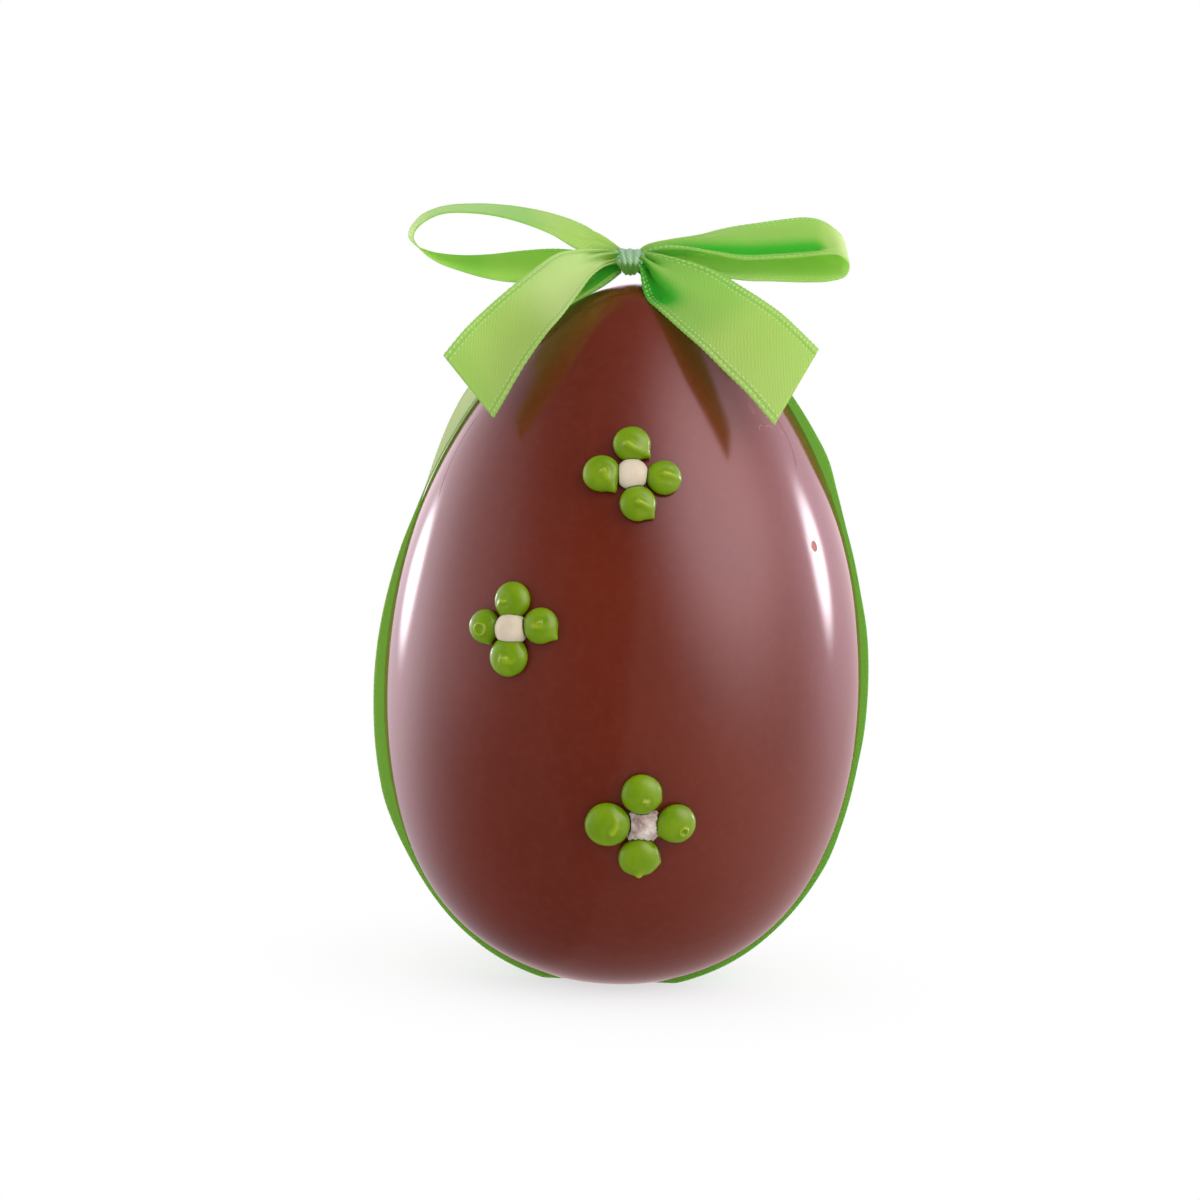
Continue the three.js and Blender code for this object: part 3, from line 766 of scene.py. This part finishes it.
rightLoop = {
    "near": [
        (1.2, -3, 167.5), (5.8, -6, 168.9), (10.8, -8, 169.2), (16.4, -9, 168.5), (22.6, -9.5, 167.6),
        (28.9, -9.5, 168), (35, -9.5, 168.6), (40.1, -9.5, 169.4), (44.2, -9.5, 169.6), (46.5, -9.5, 168.2),
        (46.9, -9.5, 166.7), (46, -9.5, 164.8), (42.7, -9.5, 163.6), (37, -9.5, 163.1), (30.3, -9.5, 163),
        (22.6, -9, 162.9), (14.4, -7, 164), (6.4, -4.5, 165.6), (1.2, -3, 165.9),
    ],
    "far": [
        (1.2, 3, 168.2), (6.8, 5, 169.9), (12.5, 8, 171.7), (19.5, 9, 173.8), (27.1, 9.5, 175.3),
        (32.6, 9.5, 176.3), (37.1, 9.5, 176.9), (40.6, 9.5, 176.5), (43.7, 9.5, 174.9), (45.9, 9.5, 172.9),
        (46.7, 9.5, 170.6), (45.6, 9.5, 169.2), (42.2, 9.5, 168.3), (36, 9.5, 168.1), (28.6, 9.5, 167.9),
        (20.8, 9, 167.5), (13.4, 7, 166.9), (6.5, 4.5, 166.6), (1.2, 3, 166.6),
    ],
    "bow": (0, 1), "tucks": (True, True), "gather": (0.05, 0.22), "faces": 1,
    "plainAndSheen": (0.05, 0.11), "shaded": (0.0, 0.1),
    "creases": [
        (0.3, 0.15, 1.4, 0.06, 0.47, 0.8, 0.62), (0.6, 0.14, -0.5, 0.03, 0.4, 0.3, 0),
        (0.75, 0.35, 1.9, 0.55, 0.99, 0.85, 0),
    ],
    "paintedLight": [
        (0, -0.35), (0.38, -0.33), (0.5, 0.9), (0.6, 0.6), (0.68, 0.2), (0.8, 0.55), (0.92, 0.2), (1, -0.1),
    ],
}
leftTail = {
    "near": [
        (-6.3, -6.2, 165.4), (-8.6, -8.6, 164.5), (-11.1, -11.8, 162.5), (-13.8, -16.2, 158.8),
        (-17.3, -21, 153.9), (-20.8, -24.6, 149.6), (-24.9, -27.6, 143.3), (-28.9, -29.8, 135.8),
        (-31.5, -31, 130.8),
    ],
    "far": [
        (-6.6, -5.2, 168), (-10.5, -8.2, 168.3), (-14.8, -10.2, 168.1), (-19.3, -11.2, 167.1),
        (-24.3, -11.8, 163.4), (-31.2, -12.6, 157.3), (-36, -14.8, 152.7), (-39.5, -17.8, 149),
        (-43.6, -21, 143.6),
    ],
    "bow": (1.5, 1), "tucks": (True, False), "gather": (0.06, 0.32), "faces": -1, "shaded": (0.15, 0.38),
    "creases": [
        (0.6, 0.13, 2.0, 0.02, 0.42, 0.3, 0.3), (0.86, 0.1, -1.2, 0.02, 0.4, 0.3, -0.5),
        (0.33, 0.1, -0.9, 0.02, 0.3, 0.3, -0.4),
    ],
    "paintedLight": [(0, -0.3), (0.1, -0.2), (0.24, 0.85), (0.5, 0.8), (0.75, 0.1), (1, -0.3)],
}
rightTail = {
    "near": [
        (-0.8, -5.8, 165.1), (-0.2, -8.6, 161.8), (1.2, -12.4, 158.4), (3.6, -16, 156.3), (8.7, -23.2, 152.3),
        (14.3, -29.2, 148.1), (19, -32.6, 143.9), (24.4, -35.6, 139.2), (30.6, -38.5, 132.6),
    ],
    "far": [
        (1.8, -5, 167.8), (6.7, -8.5, 167.4), (12.2, -10.6, 166.3), (17.2, -12, 164.6), (21.9, -15.5, 162.1),
        (27.8, -21, 158.9), (31.6, -24.4, 156.5), (35.6, -28.2, 153.2), (39.9, -31.5, 149.4),
    ],
    "bow": (-1.5, 1), "tucks": (True, False), "gather": (0.04, 0.27), "faces": 1, "shaded": (0.0, 0.2),
    "creases": [
        (0.23, 0.22, 2.8, 0.0, 0.52, 0.55, 1.15), (0.5, 0.12, -0.8, 0.02, 0.5, 0.3, -0.2),
        (0.75, 0.12, 0.9, 0.02, 0.3, 0.3, 0.1),
    ],
    "paintedLight": [(0, -0.42), (0.55, -0.4), (0.72, -0.15), (0.88, 0.25), (1, 0.3)],
}


def smoothPoint(points, t):  # on a smooth curve through the points
    place = (len(points) - 1) * t
    i = min(int(place), len(points) - 2)
    w = place - i
    p1, p2 = points[i], points[i + 1]
    p0 = points[i - 1] if i > 0 else p1 * 2 - p2
    p3 = points[i + 2] if i + 2 < len(points) else p2 * 2 - p1
    d0, d1, d2 = ((b - a).length ** 0.5 for a, b in ((p0, p1), (p1, p2), (p2, p3)))
    m1 = ((p1 - p0) / d0 - (p2 - p0) / (d0 + d1) + (p2 - p1) / d1) * d1
    m2 = ((p2 - p1) / d1 - (p3 - p1) / (d1 + d2) + (p3 - p2) / d2) * d1
    return p1 + m1 * w + (p1 * -3 + p2 * 3 - m1 * 2 - m2) * w ** 2 + (p1 * 2 - p2 * 2 + m1 + m2) * w ** 3


def tucked(points, start, end):  # the ends that go on into the knot
    middle, tuck = Vector(knot["at"]), ribbon["tuck"][0 if end else 1]
    if start:
        points.insert(0, points[0] + (middle - points[0]).normalized() * tuck)
    if end:
        points.append(points[-1] + (middle - points[-1]).normalized() * tuck)
    return points


def evenSteps(near, far, spacing):
    fine = 1200
    middles = [(smoothPoint(near, i / fine) + smoothPoint(far, i / fine)) / 2 for i in range(fine + 1)]
    lengths = [0.0]
    for a, b in zip(middles, middles[1:]):
        lengths.append(lengths[-1] + (b - a).length)
    count = 2 * round(lengths[-1] / spacing / 2)
    shares, k = [], 0
    for i in range(count + 1):
        wanted = lengths[-1] * i / count
        while k < fine - 1 and lengths[k + 1] < wanted:
            k += 1
        shares.append((k + (wanted - lengths[k]) / max(lengths[k + 1] - lengths[k], 1e-9)) / fine)
    return shares, lengths[-1]


def ribbonRows(near, far):
    shares, length = evenSteps(near, far, ribbon["picot"] / 2)
    rows = []
    for share in shares:
        a, b = smoothPoint(near, share), smoothPoint(far, share)
        a.z, b.z = max(a.z, ribbon["lowest"]), max(b.z, ribbon["lowest"])
        low, high = max(share - 0.002, 0), min(share + 0.002, 1)
        along = smoothPoint(near, high) + smoothPoint(far, high)
        along = along - smoothPoint(near, low) - smoothPoint(far, low)
        rows.append((a, b, along.cross(b - a).normalized(), share))
    return rows, length


def creased(creases, share, across):
    dip, creaseShadeAndSheen = 0, 0
    for at, wide, deep, start, end, fades, shade in creases:
        if start < share < end:
            run = (share - start) / (end - start)
            reach = smoothstep(0, 0.2, run) * (1 - smoothstep(fades, 1, run))
            reach *= math.exp(-((across - at) / wide) ** 2)
            dip += deep * reach
            # painted shade along the crease, painted sheen where its shade is below 0
            creaseShadeAndSheen += shade * reach
    return dip, creaseShadeAndSheen


def addRibbon(name, node, cut):
    near, far = [tucked([Vector(p) for p in cut[edge]], *cut["tucks"]) for edge in ("near", "far")]
    rows, length = ribbonRows(near, far)
    bm = bmesh.new()
    bmesh.ops.create_grid(bm, x_segments=ribbon["across"], y_segments=len(rows) - 1, size=1)
    uvLayer = bm.loops.layers.uv.new("ribbonUv")
    for loop in (loop for face in bm.faces for loop in face.loops):
        x, y, _ = loop.vert.co
        loop[uvLayer].uv = ((x + 1) / 2 * ribbon["width"], (y + 1) / 2 * length)
    paintedShade, plainAndSheen, shaded = (bm.verts.layers.float.new(layer) for layer in ("paintedShade", "plainAndSheen", "shaded"))
    outside = bm.verts.layers.float_vector.new("outside")
    size, skew = cut["bow"]
    for vert in bm.verts:
        across, row = (vert.co.x + 1) / 2, round((vert.co.y + 1) / 2 * (len(rows) - 1))
        a, b, out, share = rows[row]
        toKnot = min([share] * cut["tucks"][0] + [1 - share] * cut["tucks"][1])
        chord = (b - a).length
        spare = max(0.0, ribbon["width"] / chord - 1)
        depth = min(ribbon["pleatDepth"], chord / (math.pi * ribbon["pleats"]) * math.sqrt(spare))
        depth *= 1 - smoothstep(*cut["gather"], toKnot)
        wave = math.sin(2 * math.pi * ribbon["pleats"] * across)
        if all(cut["tucks"]) and share > 0.5:  # a loop's lower strand lies outer side down
            wave = -wave
        dip, creaseShadeAndSheen = creased(cut["creases"], share, across)
        lift = depth * wave + size * math.sin(math.pi * share) * math.sin(math.pi * across ** skew) - dip
        place = a.lerp(b, across) + out * lift
        vert[plainAndSheen] = 1 - smoothstep(*cut["plainAndSheen"], abs(share - 0.5)) if "plainAndSheen" in cut else 0
        if not 0.01 < across < 0.99:  # the picots along both edges
            tooth = ribbon["tooth"] * (1 if across > 0.5 else -1) * (1 if row % 2 else -1)
            place += (b - a).normalized() * tooth * (1 - vert[plainAndSheen])
        # painted shade in creases and in the pleats' hollows, less the painted sheen listed for each share
        # (more painted shade where that is below 0)
        vert[paintedShade] = max(-1.0, min(1.0, creaseShadeAndSheen + 0.15 * depth * (1 - wave) - sampled(cut["paintedLight"], share)))
        vert[outside] = out * cut["faces"]
        # how much painted shade the inner face gets near the knot
        vert[shaded] = (1 - smoothstep(*cut["shaded"], toKnot)) * smoothstep(0.05, 0.18, across)
        vert.co = place
    piece = finishPiece(bm, name, satinMaterial, node)
    cloth = piece.modifiers.new("cloth", "SOLIDIFY")
    cloth.thickness = ribbon["thick"] * millimetre
    cloth.offset = 0
    print(f"{name}: {length:.1f} mm of ribbon")


# ribs, threads, stitchHeight and selvedgeHeight: how high each stands; stitches, each row: how far in from
# the edge, its half width, stitches to a picot, its shift, and the part of each wave that is drawn
weave = {
    "twill": 1.13, "drift": 7, "ribs": 0.14, "threads": 0.25, "stitchHeight": 0.8, "selvedgeHeight": 0.3,
    "stitches": (
        (0.85, 0.45, 1, 0.0, -0.35, 0.5), (1.45, 0.42, 2, 1.0, -0.3, 0.6), (2.05, 0.3, 1, 2.6, -0.1, 0.6),
    ),
    "selvedge": (1.9, 2.3), "bump": (0.5, 0.00012), "roughness": (0.40, 0.55), "shine": 0.22, "through": 0.55,
    "glow": (0.57, 0.85, 0.31), "paintedLight": (0.88, 0.92, 0.50), "light": (0.80, 0.92, 0.50),
    "dark": (0.20, 0.46, 0.05),
}


def wovenSatin():
    outputs = ["Height", "Edge", "Stitch", "Streak"]
    group, taken, given = newGroup("wovenSatin", ["Vector", "Width"], outputs)
    axes = splitAxes(group, taken["Vector"])
    across, along = axes["X"], axes["Y"]
    edge = maths(group, "MINIMUM", across, maths(group, "SUBTRACT", taken["Width"], across))
    drift = maths(group, "MULTIPLY", noiseValue(group, taken["Vector"], 0.6, 3), weave["drift"])
    slant = maths(group, "MULTIPLY", maths(group, "ADD", across, along), 2 * math.pi / weave["twill"])
    patchy = mapRange(group, noiseValue(group, taken["Vector"], 0.35, 2), *noiseSpan, 0.35, 1)
    ribs = maths(group, "MULTIPLY", maths(group, "SINE", maths(group, "ADD", slant, drift)), patchy)
    threads = maths(group, "MULTIPLY", noiseValue(group, taken["Vector"], 1.6, 2, 0.5), weave["threads"])

    def stitchRow(middle, half, perPicot, shift, low, high):
        off = maths(group, "ABSOLUTE", maths(group, "SUBTRACT", edge, middle))
        zone = maths(group, "SUBTRACT", 1.0, mapRange(group, off, half * 0.35, half))
        turn = maths(group, "MULTIPLY", along, 2 * math.pi * perPicot / ribbon["picot"])
        wave = maths(group, "SINE", maths(group, "ADD", turn, shift))
        return maths(group, "MULTIPLY", zone, mapRange(group, wave, low, high))

    blobs, ticks, beads = (stitchRow(*row) for row in weave["stitches"])
    stitch = maths(group, "SUBTRACT", maths(group, "ADD", blobs, beads), ticks)
    selvedge = maths(group, "SUBTRACT", 1.0, mapRange(group, edge, *weave["selvedge"]))
    height = maths(group, "MULTIPLY_ADD", ribs, weave["ribs"], threads)
    height = maths(group, "MULTIPLY_ADD", stitch, weave["stitchHeight"], height)
    height = maths(group, "MULTIPLY_ADD", selvedge, weave["selvedgeHeight"], height)
    streak = maths(group, "MULTIPLY", ribs, 0.5)
    for name, value in zip(outputs, (height, selvedge, stitch, streak)):
        group.links.new(value, given[name])
    return group


def satin(name, deep, lit, paintedShade, back):
    material, tree, shader, output = newMaterial(name, {"Specular IOR Level": weave["shine"]})
    uv = addNode(tree, "UVMap", uv_map="ribbonUv").outputs[0]
    cloth = placeGroup(tree, weaveGroup, {"Vector": uv, "Width": ribbon["width"]})
    paintedShadeLevel, plainAndSheen, shaded = (attribute(tree, layer)["Fac"] for layer in ("paintedShade", "plainAndSheen", "shaded"))
    outside = attribute(tree, "outside")["Vector"]
    facing = vectorMaths(tree, "DOT_PRODUCT", outside, geometry(tree, "Normal"))["Value"]
    inner = mapRange(tree, facing, -0.1, -0.5)
    # painted shade on inner faces near the knot
    dark = maths(tree, "MULTIPLY", shaded, inner)
    woven = maths(tree, "SUBTRACT", 1.0, plainAndSheen)
    stitch = maths(tree, "MULTIPLY", cloth["Stitch"], woven)
    colour = mixColour(tree, maths(tree, "MULTIPLY_ADD", cloth["Streak"], woven, 0.5), deep, lit)
    # colour layers: a little painted sheen where the weave is plain, the inner face's own colour, painted
    # sheen, painted shade on inner faces near the knot, the selvedge's own darker tone, painted shade in
    # creases and pleats, then the light and dark stitches
    layers = (
        (maths(tree, "MULTIPLY", plainAndSheen, 0.2), weave["paintedLight"]),
        (inner, back),
        (mapRange(tree, paintedShadeLevel, -0.1, -0.9, 0, 0.7), weave["paintedLight"]),
        (dark, paintedShade),
        (maths(tree, "MULTIPLY", cloth["Edge"], 0.1), paintedShade),
        (mapRange(tree, paintedShadeLevel, 0.1, 0.9, 0, 0.96), paintedShade),
        (mapRange(tree, stitch, 0, 1, 0, 0.8, smooth=False), weave["light"]),
        (mapRange(tree, stitch, 0, -1, 0, 0.7, smooth=False), weave["dark"]),
    )
    for share, tint in layers:
        colour = mixColour(tree, share, colour, tint)
    rough = mapRange(tree, cloth["Edge"], 0, 1, *weave["roughness"])
    relief = bumpNormal(tree, maths(tree, "MULTIPLY", cloth["Height"], woven), *weave["bump"])
    setSockets(tree, shader, {"Base Color": colour, "Roughness": rough, "Normal": relief})
    # the light through the cloth also takes the painted shade near the knot
    glow = mixColour(tree, maths(tree, "MULTIPLY", dark, 0.8), weave["glow"], paintedShade)
    shader = mixShaders(tree, inner, shader, addNode(tree, "BsdfDiffuse", {"Color": colour}))
    shader = mixShaders(tree, weave["through"], shader, addNode(tree, "BsdfTranslucent", {"Color": glow}))
    setSockets(tree, output, {"Surface": shader.outputs[0]})
    return material


weaveGroup = wovenSatin()
satinMaterial = satin("limeSatin", *ribbon["colours"])
addRibbon("bow_left_loop", "bow_loop_left", leftLoop)
addRibbon("bow_right_loop", "bow_loop_right", rightLoop)
addRibbon("bow_left_tail", "bow_tail_left", leftTail)
addRibbon("bow_right_tail", "bow_tail_right", rightTail)
print("bow ready")


# Band round the egg

snug = egg["base"] - ribbon["lowest"]
band = {
    # height, and how far the front and the back edge lie off the egg
    "left": [
        (151, 0.6, 0.6), (140, 0.2, 2.1), (130, 0.15, 2.9), (123, 0.2, 2.0), (115, 0.3, 0.8), (107, 0.4, 0.2),
        (97, 0.9, -0.1), (85, 1.55, -0.4), (70, 2.05, -0.6), (50, 2.2, -0.6), (40, 2.1, -0.5),
        (32, 1.45, -0.3), (25, 0.7, 0), (18, 0.6, 0.3), (8, 0.45, 0.4), (egg["base"], snug, snug),
    ],
    "right": [
        (156.5, 0.6, 0.6), (140, 1.5, 0.2), (130, 2.0, -0.3), (122, 2.2, -0.5), (114, 1.3, -0.3),
        (106, 0.75, 0), (95, 0.85, 0), (80, 1.4, -0.3), (65, 1.25, -0.2), (50, 0.75, 0.1), (40, 0.75, 0.1),
        (30, 1.0, 0), (20, 0.7, 0.2), (10, 0.5, 0.4), (4, 0.5, 0.45), (egg["base"], snug, snug),
    ],
    # height, and how far to the back it runs there
    "driftLeft": [(151, 0), (134, 3.5), (95, 6), (20, 6), (egg["base"], 2)],
    "driftRight": [(156.5, 0), (136, 3), (95, 5.5), (20, 5.5), (egg["base"], 2)],
    "sideSteps": 26, "armSteps": 5, "rootHalf": 3.4, "rootHeights": (162.8, 164.6), "roots": (-6.4, 1.2),
    "under": (-13.5, -7, 0, 7, 13.5), "underWidth": 30,
    "cut": {
        "bow": (0, 1), "tucks": (True, True), "gather": (0.02, 0.08), "faces": -1, "shaded": (0.0, 0.01),
        # painted shade: a crease of it on the left arm under the tail; the table below adds painted shade
        # down the band and painted sheen where the arm comes out from under the tail
        "creases": [(0.6, 0.35, 0.3, -0.02, 0.09, 0.7, 0.6)],
        "paintedLight": [
            (0, -0.45), (0.04, -0.3), (0.07, 0.9), (0.12, 0.8), (0.2, -0.15), (0.4, -0.45), (0.6, -0.68),
            (1, -0.68),
        ],
    },
}


def eased(table, height, column):
    k = next((i for i, entry in enumerate(table) if entry[0] <= height + 1e-9), len(table) - 1)
    if k <= 0:
        return table[0][column]
    t = smoothstep(0, 1, (table[k - 1][0] - height) / (table[k - 1][0] - table[k][0]))
    return mixed(table[k - 1][column], table[k][column], t)


def bandSide(side, loose, drift):
    rows = []
    high, low = math.asin(sOfHeight(loose[0][0])), math.asin(sOfHeight(egg["base"]))
    for i in range(band["sideSteps"] + 1):
        s = math.sin(mixed(high, low, i / band["sideSteps"]))
        normal = Vector((0, -1)) if i == band["sideSteps"] else eggNormal(s)
        level = eggLevel(s)
        back = eased(drift, level, 1)
        pair = []
        for column, edge in ((1, -1), (2, 1)):
            off = eased(loose, level, column)
            out, y = side * (eggRadius(s) + normal.x * off), edge * ribbon["width"] / 2 + back
            pair.append(Vector((out, y, level + normal.y * off)))
        rows.append(pair)
    return rows


def bandArm(rootX, shoulder):
    rows = []
    for i in range(band["armSteps"]):
        t = i / band["armSteps"]
        widen = math.sin(t * math.pi / 2)
        pair = []
        for edge, height, end in zip((-1, 1), band["rootHeights"], shoulder):
            point = Vector((rootX, edge * band["rootHalf"], height)).lerp(end, t)
            point.y = mixed(edge * band["rootHalf"], end.y, widen)
            pair.append(point)
        rows.append(pair)
    return rows


def addBand():
    left = bandSide(-1, band["left"], band["driftLeft"])
    right = bandSide(1, band["right"], band["driftRight"])
    right.reverse()
    rightArm = bandArm(band["roots"][1], right[-1])
    rightArm.reverse()
    shares = [0.5 + x / band["underWidth"] for x in band["under"]]
    under = [[start.lerp(end, share) for start, end in zip(left[-1], right[0])] for share in shares]
    pairs = [*bandArm(band["roots"][0], left[0]), *left, *under, *right, *rightArm]
    cut = {**band["cut"], "near": [pair[0] for pair in pairs], "far": [pair[1] for pair in pairs]}
    addRibbon("band", "ribbon_band", cut)


addBand()
print("band ready")


# Knot

def addKnot():
    profile = []
    for i in range(knot["rings"] + 1):
        x = -math.cos(math.pi * i / knot["rings"])
        profile.append((x, 0, (1 - abs(x) ** 3) ** (1 / 3)))
    bm = spun(profile, Vector((1, 0, 0)), knot["segments"], knot["merge"])
    uvLayer = bm.loops.layers.uv.new("ribbonUv")
    paintedShadeLayer = bm.verts.layers.float.new("paintedShade")
    fanned, swayed = knot["fan"]
    for vert in bm.verts:
        x, y, z = vert.co
        turn = math.atan2(z, -y)
        fan = x + fanned * math.sin(turn) * (x + 0.3) + swayed * math.sin(2 * turn + 3 * x)
        wave = math.cos(math.pi * knot["pleats"] * fan)
        pleat = knot["deep"] * (1 - wave) / 2 * smoothstep(1.0, 0.6, abs(x))
        waist = 1 - knot["waist"] * (1 - x * x)
        narrow = 1 - knot["narrow"] * smoothstep(0.8, -0.9, z)
        # painted shade in the pleats and a painted shadow on the knot's underside
        vert[paintedShadeLayer] = knot["pleatShade"] * (1 - wave) / 2 + smoothstep(0.2, -0.5, z)
        vert.co = (x * narrow, y * (1 - pleat) * waist, z * (1 - pleat) * waist)
    for loop in (loop for face in bm.faces for loop in face.loops):
        x, y, z = loop.vert.co
        loop[uvLayer].uv = (4 + 6 * (x + 1), 3.6 * math.atan2(z, -y))  # clear of the selvedges
    bmesh.ops.scale(bm, vec=knot["half"], verts=bm.verts)
    bmesh.ops.translate(bm, vec=knot["at"], verts=bm.verts)
    material = satin("knotSatinPaintedSheen", *knot["colours"])
    finishPiece(bm, "bow_knot", material, "ribbon_knot", merge=knot["merge"])


addKnot()
print("knot ready")
